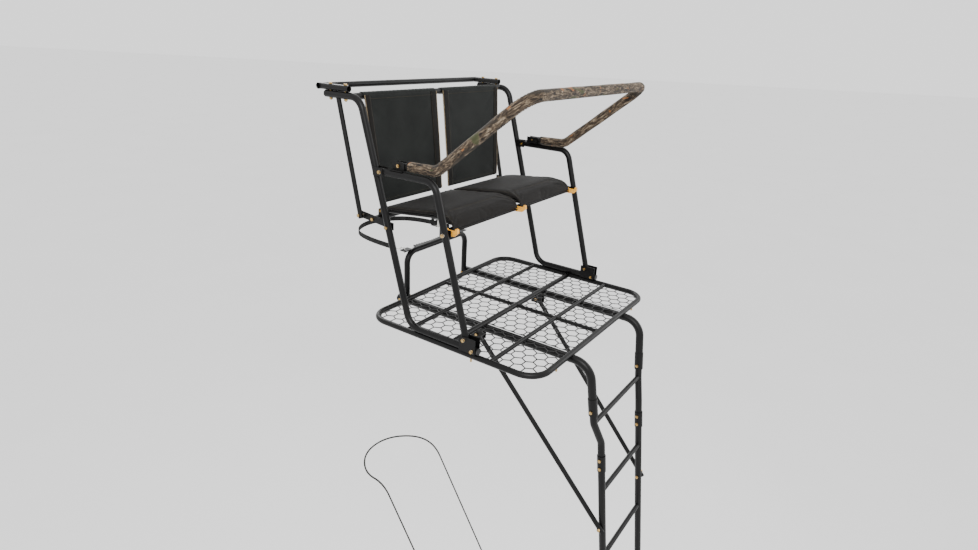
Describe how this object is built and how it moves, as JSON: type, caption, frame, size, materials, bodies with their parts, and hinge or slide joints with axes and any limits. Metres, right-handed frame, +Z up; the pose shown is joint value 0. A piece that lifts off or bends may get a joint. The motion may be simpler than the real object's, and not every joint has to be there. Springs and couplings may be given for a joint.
{
  "type": "ladder tree stand",
  "caption": "Ladder tree stand for two people: mesh platform, flip-up seats, backrests, armrests, padded shooting rail, tree braces, sectional ladder and straps.",
  "frame": {"origin": "where the axis of the trunk meets the level of the ladder feet", "axes": "+Z up along the trunk, -Y towards the ladder, +X to the sitter's left as they face the ladder side"},
  "size_m": [1.1158, 2.1038, 5.2214],
  "materials": {
    "black_steel": "satin black powder coat, slightly rubbed at the edges",
    "yellow_zinc": "yellow passivated zinc",
    "bright_zinc": "bright zinc",
    "amber_plastic": "moulded amber plastic",
    "camo_foam": "bark-patterned cloth over foam",
    "black_plastic": "matt",
    "black_rubber": "matt",
    "seat_fabric": "coated mesh fabric with sewn hems",
    "mesh_fabric": "coated mesh fabric with sewn hems",
    "webbing": "woven polyester webbing",
    "rope": "braided polyester rope"
  },
  "bodies": {
    "stand": {"armrest_left": "black_steel", "armrest_right": "black_steel", "armrest_washers": "bright_zinc", "backrest_bar": "black_steel", "backrest_sling_left": "mesh_fabric", "backrest_sling_right": "mesh_fabric", "brace_clevises": "black_steel", "foot_plugs": "black_plastic", "frame_bolts": "yellow_zinc", "frame_nuts": "yellow_zinc", "frame_tabs": "black_steel", "ladder_bolts": "yellow_zinc", "ladder_feet": "black_rubber", "ladder_legs_1": "black_steel", "ladder_legs_2": "black_steel", "ladder_legs_3": "black_steel", "ladder_nuts": "yellow_zinc", "ladder_rungs": "black_steel", "ladder_sleeves": "black_steel", "main_beam_left": "black_steel", "main_beam_right": "black_steel", "platform_bars": "black_steel", "platform_center_bar": "black_steel", "platform_mesh": "black_steel", "platform_ring": "black_steel", "rail_brackets": "black_steel", "rail_pins": "yellow_zinc", "ratchet_frame": "black_steel", "ratchet_spool": "bright_zinc", "ratchet_strap": "webbing", "ratchet_strap_tail": "webbing", "rear_struts": "black_steel", "rope_eye_bolts": "bright_zinc", "seat_brackets": "black_steel", "seat_ears": "black_steel", "seat_front_bar": "black_steel", "seat_pivot_pins": "yellow_zinc", "seat_rear_bar": "black_steel", "seat_saddles": "amber_plastic", "side_frame_left": "black_steel", "side_frame_right": "black_steel", "spacers": "bright_zinc", "stabiliser_rope": "rope", "strap_eyes": "black_steel", "strap_hooks": "bright_zinc", "support_braces": "black_steel", "transition_legs": "black_steel", "tree_blade": "black_steel", "tree_hoop": "black_steel", "upper_brace_arms": "black_steel", "upper_crossbar": "black_steel"},
    "seat_left": {"seat_frame_left": "black_steel", "seat_sling_left": "seat_fabric"},
    "seat_right": {"seat_frame_right": "black_steel", "seat_sling_right": "seat_fabric"},
    "shooting_rail": {"rail_tube": "black_steel", "rail_pad": "camo_foam"},
    "ratchet_handle": {"ratchet_handle": "black_steel"},
    "ratchet_release": {"ratchet_release": "black_steel"}
  },
  "joints": [
    {"name": "seat_left_flip", "type": "hinge", "parent": "stand", "child": "seat_left", "pos_m": [0, -0.298, 4.664], "axis": [-1, 0, 0], "range_deg": [0, 80]},
    {"name": "seat_right_flip", "type": "hinge", "parent": "stand", "child": "seat_right", "pos_m": [0, -0.298, 4.664], "axis": [-1, 0, 0], "range_deg": [0, 80]},
    {"name": "rail_flip", "type": "hinge", "parent": "stand", "child": "shooting_rail", "pos_m": [0, -0.455, 4.887], "axis": [-1, 0, 0], "range_deg": [0, 100]},
    {"name": "ratchet_handle_open", "type": "hinge", "parent": "stand", "child": "ratchet_handle", "pos_m": [0.2343, -0.075, 4.405], "axis": [0, 0, -1], "range_deg": [0, 95]},
    {"name": "ratchet_release_pull", "type": "slide", "parent": "ratchet_handle", "child": "ratchet_release", "axis": [0, 1, 0], "range_m": [0, 0.006], "stiffness_N_per_m": 300}
  ]
}
